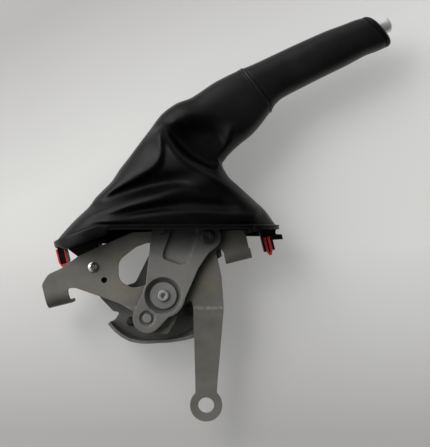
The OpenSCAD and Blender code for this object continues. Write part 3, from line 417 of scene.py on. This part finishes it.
FINISH = {
    bracket_steel: ["base_bracket", "stay_leg", "ratchet_sector"],
    plate_steel: ["lever_plate_right", "lever_plate_left", "lever_arm", "pawl", "sector_rivets"],
    pin_steel: ["pivot_washer", "pivot_sleeve", "pivot_lock_ring", "cross_pin", "pawl_spacers",
                "release_rod", "button_spring"],
    black_steel: ["pawl_pin"],
    black_plastic: ["grip_core", "grip_end_cap", "collar_ring", "boot_ring", "switch_body"],
    rubber: ["bump_stops"],
    red_plastic: ["clip_rear", "clip_front"],
    pale_plastic: ["rod_guide", "switch_plunger"],
    button_metal: ["release_button"],
    zinc: ["switch_screw"],
    dull_zinc: ["pivot_pin"],
    tinned_brass: ["switch_terminal"],
    boot_leather: ["boot"],
    grip_leather: ["grip_cover"],
}


def dress_nodes():
    for material, names in FINISH.items():
        for name in names:
            mesh = nodes[name].data
            mesh.materials.clear()
            mesh.materials.append(material)


# Mesh helpers
def add_mesh(name, points, faces, material):
    mesh = bpy.data.meshes.new(name)
    mesh.from_pydata([tuple(p) for p in points], [], faces)
    mesh.materials.append(material)
    piece = bpy.data.objects.new(name, mesh)
    bpy.context.scene.collection.objects.link(piece)
    return piece


def loft_faces(rows, columns, ends):
    """Faces of a skin over rows of closed loops, with flat ends where asked."""
    faces = []
    for i in range(rows - 1):
        for j in range(columns):
            k = (j + 1) % columns
            here, above = i * columns, (i + 1) * columns
            faces.append((here + j, here + k, above + k, above + j))
    if ends:
        faces.append(tuple(range(columns - 1, -1, -1)))
        faces.append(tuple((rows - 1) * columns + j for j in range(columns)))
    return faces


def add_loft(name, loops, material, body=None, ends=False):
    """Smooth piece over rows of closed loops, given in millimetres."""
    faces = loft_faces(len(loops), len(loops[0]), ends)
    piece = add_mesh(name, np.concatenate(loops) * MM, faces, material)
    mesh = piece.data
    mesh.polygons.foreach_set("use_smooth", [True] * len(mesh.polygons))
    mesh.validate()
    mesh.update()
    if body:
        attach(piece, body)
    return piece


def smoothstep(x):
    x = np.clip(x, 0, 1)
    return x * x * (3 - 2 * x)


def spline(table, x):
    """Smooth curve through a table of (x, y) rows, with no overshoot."""
    xs = np.array([row[0] for row in table], float)
    ys = np.array([row[1] for row in table], float)
    h = np.diff(xs)
    slope = np.diff(ys) / h
    m = np.zeros(len(xs))
    m[0], m[-1] = slope[0], slope[-1]
    for i in range(1, len(xs) - 1):
        if slope[i - 1] * slope[i] > 0:
            w1, w2 = 2 * h[i] + h[i - 1], h[i] + 2 * h[i - 1]
            m[i] = (w1 + w2) / (w1 / slope[i - 1] + w2 / slope[i])
    i = np.clip(np.searchsorted(xs, x) - 1, 0, len(h) - 1)
    t = (x - xs[i]) / h[i]
    return ((1 + 2 * t) * (1 - t) ** 2 * ys[i] + t * (1 - t) ** 2 * h[i] * m[i]
            + t * t * (3 - 2 * t) * ys[i + 1] + t * t * (t - 1) * h[i] * m[i + 1])


def spline_at(table, x):
    return spline(table, np.array([float(x)]))[0]


def squircle(angle, power):
    c, s = np.cos(angle), np.sin(angle)
    return np.sign(c) * np.abs(c) ** (2 / power), np.sign(s) * np.abs(s) ** (2 / power)


# Grip frame, in millimetres: its axis starts at the collar and rises to the button
GRIP_RISE = math.radians(11.3)
PIVOT = np.array(frame["joints"][0]["pos_m"]) / MM
GRIP_AT = PIVOT + np.array([123.4, 0, 161.1])
GRIP_DIR = np.array([math.cos(GRIP_RISE), 0, math.sin(GRIP_RISE)])
GRIP_UP = np.array([-math.sin(GRIP_RISE), 0, math.cos(GRIP_RISE)])
SIDE = np.array([0, 1, 0])
GRIP_LENGTH = 117
GRIP_POWER = 2.4
GRIP_COLUMNS = 96
GRIP_ANGLES = np.linspace(0, 2 * math.pi, GRIP_COLUMNS, endpoint=False)
# Place along the grip, and there the slope of the section, its height above and below the axis
# and its half width
GRIP_SLOPE = [(-12, -0.19), (0, -0.19), (8, -0.19), (17, -0.1), (30, 0), (77, -0.1), (99, -0.25),
              (110, -0.32), (126, -0.32)]
GRIP_TOP = [(-12, 19), (0, 19), (8, 18.7), (17, 18.5), (30, 18.5), (77, 17.9), (99, 16.3),
            (110, 15.5), (117, 14.5), (126, 14)]
GRIP_LOW = [(-12, 29), (0, 25.5), (8, 21.4), (17, 19.5), (30, 18.7), (77, 17.9), (99, 16.6),
            (110, 17.9), (117, 18.1), (126, 18)]
GRIP_HALF = [(-12, 18), (0, 17.7), (8, 17.4), (17, 17.2), (30, 16.9), (77, 16.5), (99, 16),
             (110, 16), (117, 15.6), (126, 15)]
NECK_SLOPE = GRIP_SLOPE[0][1]
CAP_SLOPE = GRIP_SLOPE[-1][1]


def grip_places(along, up, across):
    return (GRIP_AT + along[:, None] * GRIP_DIR + up[:, None] * GRIP_UP
            + across[:, None] * SIDE)


def grip_loop(x, inset, angles, slope=None):
    """Closed loop round the grip's axis at a place x along it."""
    lean = spline_at(GRIP_SLOPE, x) if slope is None else slope
    top, low, half = (spline_at(table, x) - inset for table in (GRIP_TOP, GRIP_LOW, GRIP_HALF))
    c, s = squircle(angles, GRIP_POWER)
    z = np.where(s > 0, s * top, s * low)
    return grip_places(x + lean * z, z, c * half)


WOBBLE_SIZE = 0.16
WOBBLE_LENGTH = 23
WOBBLE_SHIFT = 1.3


def wobble(points):
    """Small smooth unevenness of a hand-wrapped surface."""
    x, y, z = (points / WOBBLE_LENGTH).T
    coarse = np.sin(x * 2.1 + WOBBLE_SHIFT) * np.cos(y * 2.7 + WOBBLE_SHIFT * 2)
    return WOBBLE_SIZE * (coarse + 0.6 * np.sin(z * 3.3 + x * 1.7))


# Place along the grip and inset, at the leather's turned-in start and from its rolled end
COVER_START = [(0.6, 1.5), (0.4, 0.6)]
COVER_SPAN = (0.8, GRIP_LENGTH - 1.6)
COVER_ROWS = 74
COVER_ROLL = [(-0.8, 0.12), (-0.25, 0.5), (0, 1.0), (-0.2, 1.58)]


def add_grip_cover():
    straight = [(x, 0.0) for x in np.linspace(*COVER_SPAN, COVER_ROWS)]
    roll = [(GRIP_LENGTH + x, inset) for x, inset in COVER_ROLL]
    loops = []
    for x, inset in COVER_START + straight + roll:
        loop = grip_loop(x, inset, GRIP_ANGLES)
        outward = loop - loop.mean(0)
        outward /= np.linalg.norm(outward, axis=1)[:, None]
        loops.append(loop + outward * wobble(loop)[:, None])
    piece = add_loft("grip_leather_cover", loops, grip_leather, "lever")
    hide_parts("grip_cover")


# End cap, from the grip's end: foot rows as place and inset, straight part, dome and button hole
CAP_FOOT = [(0.2, 1.6), (0.2, 0.45), (0.6, 0.05), (2, 0.0)]
CAP_STRAIGHT = 2
CAP_DOME = 3.8
CAP_ROUND = 4.4
CAP_DOME_ROWS = 9
CAP_FACE = 5.8
BUTTON_HOLE = 7.25
# Rows into the hole: share of the way from the dome, distance outside the hole, depth
HOLE_ROWS = [(0.6, 1.9, 0.0), (1, 0.5, 0.0), (1, 0.0, 0.5), (1, 0.0, 5.0)]


def add_end_cap():
    """Domed end cap with a rim round the button's hole."""
    rows = list(CAP_FOOT)
    for turn in np.linspace(0, math.pi / 2, CAP_DOME_ROWS)[1:]:
        rows.append((CAP_STRAIGHT + CAP_DOME * math.sin(turn), CAP_ROUND * (1 - math.cos(turn))))
    loops = [grip_loop(GRIP_LENGTH + x, inset, GRIP_ANGLES, CAP_SLOPE) for x, inset in rows]
    edge = loops[-1]
    c, s = np.cos(GRIP_ANGLES), np.sin(GRIP_ANGLES)
    for share, outside, deep in HOLE_ROWS:
        reach = BUTTON_HOLE + outside
        along = GRIP_LENGTH + CAP_FACE - deep + CAP_SLOPE * s * reach
        ring = grip_places(along, s * reach, c * reach)
        loops.append(edge * (1 - share) + ring * share)
    piece = add_loft("grip_end_dome", loops, black_plastic, "lever")
    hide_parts("grip_end_cap")


# Place along the grip and inset of the hem's two rolls
HEM = [(-4.6, 0.3), (-4.4, -0.25), (-3.7, -0.62), (-2.9, -0.45), (-2.4, -0.05), (-2.1, -0.1),
       (-1.5, -0.72), (-0.6, -0.95), (0.3, -0.72), (0.8, -0.1), (0.9, 0.6)]


def add_hem():
    """Rolled double hem where the boot's neck meets the grip's leather."""
    loops = [grip_loop(x, inset, GRIP_ANGLES, NECK_SLOPE) for x, inset in HEM]
    add_loft("boot_neck_hem", loops, grip_leather, "lever")


# Return spring from the arm's end to the button: place on the grip, first and last turn,
# the button's travel, coil and wire radius
SPRING_AT = 95
SPRING_ENDS = (0.8, 12.2)
BUTTON_TRAVEL = 5
COIL = 5.2
WIRE = 0.6
SPRING_TURNS = 5
TURN_STEPS = 24
WIRE_COLUMNS = 8
TRAVEL_STEPS = 200


def add_spring():
    """Coil with turns that lie evenly when the button is pressed."""
    low, high = SPRING_ENDS
    rest = np.linspace(low, high, TRAVEL_STEPS)
    pressed = rest - BUTTON_TRAVEL * smoothstep((rest - low) / (high - low))
    even = np.linspace(low, high - BUTTON_TRAVEL, SPRING_TURNS * TURN_STEPS + 1)
    along = np.interp(even, pressed, rest)
    turns = np.linspace(0, 2 * math.pi * SPRING_TURNS, len(along))
    wire = np.linspace(0, -2 * math.pi, WIRE_COLUMNS, endpoint=False)
    loops = []
    for place, turn in zip(along, turns):
        outward = SIDE * math.cos(turn) + GRIP_UP * math.sin(turn)
        loops.append([GRIP_AT + GRIP_DIR * (SPRING_AT + place + WIRE * math.sin(b))
                      + outward * (COIL + WIRE * math.cos(b)) for b in wire])
    piece = add_loft("return_spring", loops, pin_steel, ends=True)
    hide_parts("button_spring")
    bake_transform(piece)


# Boot: loops from the frame up to the neck, then folds pressed into its sides
RING_REAR = np.array([11, 56.6])
RING_KNEE = np.array([55, 61])
RING_FRONT = np.array([207, 23.2])
RING_HALF = 37
BOOT_ROWS = 132
BOOT_COLUMNS = 176
# Share of the way up, and there the rise of the rear line, the waist of the front line,
# the half width and the power of the section
REAR_RISE = [(0, 0), (0.09, -0.8), (0.16, -2), (0.23, 1.4), (0.3, 4.2), (0.35, 9), (0.53, 18.8),
             (0.6, 22), (0.66, 20.4), (0.75, 13.4), (0.86, 9.2), (0.93, 5), (1, 0)]
FRONT_WAIST = [(0, 1), (0.14, 9.5), (0.24, 18), (0.4, 31.8), (0.53, 42.5), (0.64, 46.8),
               (0.68, 43.8), (0.77, 31), (0.83, 19.2), (0.92, 8), (1, 0)]
BOOT_HALF = [(0, RING_HALF - 1), (0.2, RING_HALF - 2.6), (0.4, RING_HALF - 6),
             (0.6, RING_HALF - 10), (0.8, 22.2), (1, 17.5)]
BOOT_POWER = [(0, 3.3), (0.12, 2.7), (0.3, 2.5), (0.6, 2.5), (1, 2.4)]
BOOT_SETTLE = 0.4
BOOT_LIFT = 0.5
BOOT_ENDS = (14.0, 206.0)
NECK_AT = -0.2


def line_height(x, a, b):
    return a[1] + (x - a[0]) * (b[1] - a[1]) / (b[0] - a[0])


def ring_top(x):
    """Height of the frame's upper side, which has a knee."""
    rear = line_height(x, RING_REAR, RING_KNEE)
    front = line_height(x, RING_KNEE, RING_FRONT)
    return np.where(x < RING_KNEE[0], rear, front)


NECK_REAR, NECK_FRONT = [grip_loop(NECK_AT, 0, np.array([a]), NECK_SLOPE)[0][[0, 2]]
                         for a in (math.pi / 2, -math.pi / 2)]
BOOT_REAR, BOOT_FRONT = [np.array([x, float(ring_top(np.array(x)))]) for x in BOOT_ENDS]


def boot_loop(t, angles):
    """Closed loop of the boot at a share t of the way from the frame to the neck."""
    rise = np.array([0, spline_at(REAR_RISE, t)])
    waist = np.array([spline_at(FRONT_WAIST, t), 0])
    rear = BOOT_REAR * (1 - t) + NECK_REAR * t + rise
    front = BOOT_FRONT * (1 - t) + NECK_FRONT * t - waist
    middle, reach = (rear + front) / 2, (front - rear) / 2
    c, s = squircle(angles, spline_at(BOOT_POWER, t))
    x, z = (middle + c[:, None] * reach).T
    over_chord = ring_top(x) - line_height(x, BOOT_REAR, BOOT_FRONT)
    settle = over_chord * max(0, 1 - t / BOOT_SETTLE)
    y = -s * spline_at(BOOT_HALF, t)
    return np.stack([x, y, z + BOOT_LIFT * (1 - t) + settle], axis=1)


FOLD_DEPTH = -26
FOLD_STEPS = 8


def seen_at(u, v):
    """Side-view place, in millimetres, of a picture point on the boot's near side."""
    scale = VIEW_SPAN / PICTURE_TALL * (VIEW_DISTANCE + FOLD_DEPTH * MM) / VIEW_DISTANCE
    right, down = u - PICTURE_WIDE / 2, v - PICTURE_TALL / 2
    at = VIEW_CENTRE + RIGHT * right * scale - UP * down * scale
    return at.x / MM, at.z / MM


def fold_line(points):
    """Smooth line through picture points."""
    p = np.array([seen_at(u, v) for u, v in points])
    p = np.concatenate([[2 * p[0] - p[1]], p, [2 * p[-1] - p[-2]]])
    line = []
    for i in range(1, len(p) - 2):
        before, a, b, after = p[i - 1:i + 3]
        for t in np.linspace(0, 1, FOLD_STEPS, endpoint=False):
            line.append(0.5 * (2 * a + (b - before) * t
                               + (2 * before - 5 * a + 4 * b - after) * t ** 2
                               + (3 * a - before - 3 * b + after) * t ** 3))
    return np.array(line + [p[-2]])


def ridge(places, points, height, left, right, fade):
    """Height of a fold along a line, falling off over a width to its left and one to its right."""
    line = fold_line(points)
    start, step = line[:-1], np.diff(line, axis=0)
    length = np.linalg.norm(step, axis=1)
    run = np.concatenate([[0], np.cumsum(length)])
    best = np.full(len(places), np.inf)
    side = np.zeros(len(places))
    along = np.zeros(len(places))
    for i in range(len(step)):
        rel = places - start[i]
        t = np.clip(rel @ step[i] / length[i] ** 2, 0, 1)
        gap = np.linalg.norm(rel - t[:, None] * step[i], axis=1)
        nearer = gap < best
        best = np.where(nearer, gap, best)
        turn = step[i][0] * rel[:, 1] - step[i][1] * rel[:, 0]
        side = np.where(nearer, turn, side)
        along = np.where(nearer, (run[i] + t * length[i]) / run[-1], along)
    width = np.where(side > 0, left, right)
    ends = smoothstep(along / fade) * smoothstep((1 - along) / fade)
    return height * ends * np.exp(-(best / width) ** 2)


def pit(places, corners, depth):
    """Hollow inside a convex outline of picture points."""
    p = np.array([seen_at(u, v) for u, v, _ in corners])
    share = np.ones(len(places))
    for i in range(len(p)):
        edge = p[(i + 1) % len(p)] - p[i]
        rel = places - p[i]
        inside = (edge[0] * rel[:, 1] - edge[1] * rel[:, 0]) / np.linalg.norm(edge)
        share *= smoothstep(inside / corners[i][2])
    return -depth * share


# Main folds: place from the pivot, heading, half length, half width, height
MAIN_FOLDS = [
    ((63.5, 121), -35, 24, 15, -8),
    ((39.5, 127), -66, 24, 8, 3.5),
    ((66.5, 95), -40, 26, 8, 3.5),
    ((12.5, 95), 1, 42, 8, -4.5),
    ((1.5, 85), 2, 42, 7, 2.5),
]
# Hollow behind the front crest: picture points, each with the width of the slope that follows it
HOLLOW = [(163, 126, 4), (173, 144, 4), (188, 159, 4), (205, 168, 4), (218, 173, 7),
          (225, 158, 14), (234, 136, 18), (232, 116, 20), (190, 108, 16)]
HOLLOW_DEPTH = 5.5
# Fine folds: picture points, height, width to the left and right, share of the line that fades
FINE_FOLDS = [
    ([(157, 123), (168, 146), (184, 164), (201, 174.5), (218, 182.5), (233, 192), (248, 203),
      (263, 216)], 4.2, 5.5, 9, 0.06),
    ([(157, 128), (160.5, 146), (160, 158), (154, 167), (138, 177), (115, 188), (98, 199)],
     3.2, 3, 13, 0.12),
    ([(104, 202), (133, 190), (158, 181), (184, 182), (212, 192), (245, 208)], -2.4, 7, 7, 0.18),
    ([(82, 220), (105, 210.5), (128, 203.5), (162, 196), (192, 186)], 1.0, 3.5, 4.5, 0.2),
    ([(100, 217), (128, 207.5), (160, 201), (186, 194)], 1.1, 2, 3, 0.3),
    ([(112, 216), (150, 208), (195, 203), (246, 209)], -2.6, 4, 5, 0.2),
    ([(88, 225), (145, 216), (195, 213), (264, 216)], 1.9, 3, 6, 0.15),
    ([(238, 118), (230, 137), (225, 151), (222, 165)], 2.2, 5, 5, 0.25),
    ([(168, 119.5), (180, 121.5), (192, 127)], 0.6, 2.2, 2.6, 0.3),
    ([(174, 127), (185, 131), (194, 138)], 0.5, 2.2, 2.6, 0.3),
]


def main_folds(places):
    total = 0
    for at, heading, length, width, height in MAIN_FOLDS:
        turn = math.radians(heading)
        rel = places - PIVOT[[0, 2]] - np.array(at)
        along = (rel @ np.array([math.cos(turn), math.sin(turn)])) / length
        across = (rel @ np.array([-math.sin(turn), math.cos(turn)])) / width
        total = total + height * np.exp(-along ** 2 - across ** 2)
    return total


def fine_folds(places):
    total = pit(places, HOLLOW, HOLLOW_DEPTH)
    for fold in FINE_FOLDS:
        total += ridge(places, *fold)
    return total


def boot_folds(places):
    return main_folds(places) + fine_folds(places)


RING_CORNER = RING_HALF - 1
RING_ENDS = (RING_REAR[0] - 1, RING_FRONT[0] + 1)
# Depth of the turned-down edge along the frame, and the deeper flap on its far side in front
CUFF_DEEP = [(0, 5), (13, 5), (25, 9.5), (45, 9.5), (61, 8), (66, 1.2), (215, 1.2)]
FAR_FLAP = 9
FLAP_X, FLAP_X_FADE = 60, 12
FLAP_Y, FLAP_Y_FADE = 5, 20
# Leather turned down over the frame: distance outside it, and share of the cuff's depth
WRAP = [(-2.5, 1.06), (-0.3, 1.1), (0.5, 1.02), (0.8, 0.85), (0.85, 0.5), (0.8, 0.2),
        (0.55, -0.02)]


def wrap_loop(loop, out, share):
    """Loop on the frame's outer side, beside each point of the boot's lowest loop."""
    core_x = np.clip(loop[:, 0], RING_ENDS[0] + RING_CORNER, RING_ENDS[1] - RING_CORNER)
    core_y = np.clip(loop[:, 1], RING_CORNER - RING_HALF, RING_HALF - RING_CORNER)
    away = np.stack([loop[:, 0] - core_x, loop[:, 1] - core_y], axis=1)
    away *= (RING_CORNER + out) / np.linalg.norm(away, axis=1)[:, None]
    x, y = core_x + away[:, 0], core_y + away[:, 1]
    flap = smoothstep((y - FLAP_Y) / FLAP_Y_FADE) * smoothstep((x - FLAP_X) / FLAP_X_FADE)
    deep = spline(CUFF_DEEP, x) + FAR_FLAP * flap
    return np.stack([x, y, ring_top(x) - share * deep], axis=1)


# Height, and there the half width that the folds keep clear of the arm and plates inside
ARM_CLEAR = [(0, 17.8), (92, 17.8), (124, 15.6), (300, 15.6)]
CLEAR_SOFT = 2.0
# The far side has the near side's folds, shifted and shallower
FAR_SHIFT = np.array([4.0, -3.0])
FAR_SHARE = 0.85
# Share of the half width past which a side takes the full fold, and the rows held at both ends
SIDE_FULL = 0.8
HELD_LOW, HELD_HIGH = 0.03, 0.06
# Painted light towards the neck: share of the way up where it starts, and the run it fades in over
NECK_LIGHT_FROM, NECK_LIGHT_RUN = 0.7, 0.2
BOOT_THICK = 1.5
WRAP_THICK = 0.2


def add_boot():
    angles = np.linspace(0, -2 * math.pi, BOOT_COLUMNS, endpoint=False)
    shares = np.linspace(0, 1, BOOT_ROWS)
    loops = [boot_loop(t, angles) for t in shares]
    rows = np.repeat(shares, BOOT_COLUMNS)
    half = np.repeat([np.abs(loop[:, 1]).max() for loop in loops], BOOT_COLUMNS)
    points = np.concatenate(loops)
    places = points[:, [0, 2]]
    near = points[:, 1] < 0
    out = np.abs(points[:, 1])
    folds = np.where(near, boot_folds(places), FAR_SHARE * boot_folds(places + FAR_SHIFT))
    facing = smoothstep(out / half / SIDE_FULL)
    held = smoothstep(rows / HELD_LOW) * smoothstep((1 - rows) / HELD_HIGH)
    least = np.minimum(out, spline(ARM_CLEAR, points[:, 2]))
    over = out + folds * facing * held - least
    pressed = least + 0.5 * (over + np.sqrt(over ** 2 + CLEAR_SOFT))
    points[:, 1] = np.where(near, -pressed, pressed)
    wrap = [wrap_loop(loops[0], outside, share) for outside, share in WRAP]
    sides = list(points.reshape(BOOT_ROWS, BOOT_COLUMNS, 3))
    piece = add_loft("leather_boot", wrap + sides, boot_leather)

    # Painted light: the leather is painted paler towards the neck, held as a mesh attribute
    edge = np.zeros(len(wrap) * BOOT_COLUMNS)
    painted_neck_light = np.concatenate([edge, smoothstep((rows - NECK_LIGHT_FROM) / NECK_LIGHT_RUN)])
    layer = piece.data.attributes.new("painted_neck_light", "FLOAT", "POINT")
    layer.data.foreach_set("value", painted_neck_light.astype(np.float32))
    full = piece.vertex_groups.new(name="full_thickness")
    full.add(list(range(len(edge))), WRAP_THICK, "REPLACE")
    full.add(list(range(len(edge), len(painted_neck_light))), 1.0, "REPLACE")
    thick = piece.modifiers.new("thickness", "SOLIDIFY")
    thick.thickness = BOOT_THICK * MM
    thick.offset = -1
    thick.vertex_group = full.name
    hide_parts("boot")
    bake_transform(piece)


def add_table():
    turns = ((-1, -1), (1, -1), (1, 1), (-1, 1))
    corners = [(x * TABLE_HALF, TABLE_Y, z * TABLE_HALF) for x, z in turns]
    table = add_mesh("table", corners, [(0, 1, 2, 3)], table_top())


# Light: a room that is less light below, a window and a pale wall on the left, and one lamp
ROOM_DARK = 0.03
ROOM_LIGHT = 0.5
ROOM_FRONT = (0.85, 0.25)
ROOM_RUN = (0.9, -0.75)
ROOM_SHARES = (1.25, 0.14)
ROOM_COLOUR = rgb(0.97, 0.985, 1)
ABOVE = UPPER_LEFT.normalized()
WINDOW = (UP * 0.46 - RIGHT * 0.74 + TOWARD * 0.5).normalized()
WINDOW_RUN = (0.78, 0.95)
WINDOW_LIGHT = 2.8
WALL = (TOWARD * 0.5 - RIGHT * 0.8 - UP * 0.3).normalized()
WALL_RUN = (0.72, 0.95)
WALL_LIGHT = 0.6
KEY_AT = VIEW_CENTRE - RIGHT * 0.42 + UP * 0.42 + TOWARD * 0.55
KEY_TARGET = VIEW_CENTRE - RIGHT * 0.1
KEY_SIZE = 0.4
KEY_POWER = 2.1
KEY_COLOUR = (1, 0.985, 0.96)


def add_room():
    world = bpy.data.worlds.new("studio")
    world.use_nodes = True
    s = Nodes(world.node_tree)
    direction = s.add("ShaderNodeTexCoord").outputs["Generated"]
    # Shiny surfaces mirror a dark room in front of the part
    mirrored = s.span(s.dot(direction, TOWARD), *ROOM_FRONT, ROOM_DARK, ROOM_LIGHT)
    glossy = s.add("ShaderNodeLightPath").outputs["Is Glossy Ray"]
    room = s.add("ShaderNodeMix", {"Factor": glossy, "A": ROOM_LIGHT, "B": mirrored}).outputs[0]
    room = s.times(room, s.span(s.dot(direction, ABOVE), *ROOM_RUN, *ROOM_SHARES))
    window = s.span(s.dot(direction, WINDOW), *WINDOW_RUN, 0.0, WINDOW_LIGHT)
    wall = s.span(s.dot(direction, WALL), *WALL_RUN, 0.0, WALL_LIGHT)
    background = world.node_tree.nodes["Background"]
    s.join(background.inputs["Color"], ROOM_COLOUR)
    s.join(background.inputs["Strength"], s.math("ADD", s.math("ADD", room, window), wall))
    bpy.context.scene.world = world


def add_lamp():
    data = bpy.data.lights.new("key", "AREA")
    data.shape = "DISK"
    data.size = KEY_SIZE
    data.energy = KEY_POWER
    data.color = KEY_COLOUR
    lamp = bpy.data.objects.new("key", data)
    lamp.location = KEY_AT
    lamp.rotation_mode = "QUATERNION"
    lamp.rotation_quaternion = (KEY_TARGET - KEY_AT).to_track_quat("-Z", "Y")
    lamp.visible_glossy = False
    bpy.context.scene.collection.objects.link(lamp)


add_camera()
add_room()
add_lamp()
bpy.context.scene.view_settings.view_transform = "Standard"
add_table()
dress_nodes()
add_grip_cover()
add_end_cap()
add_hem()
add_spring()
add_boot()
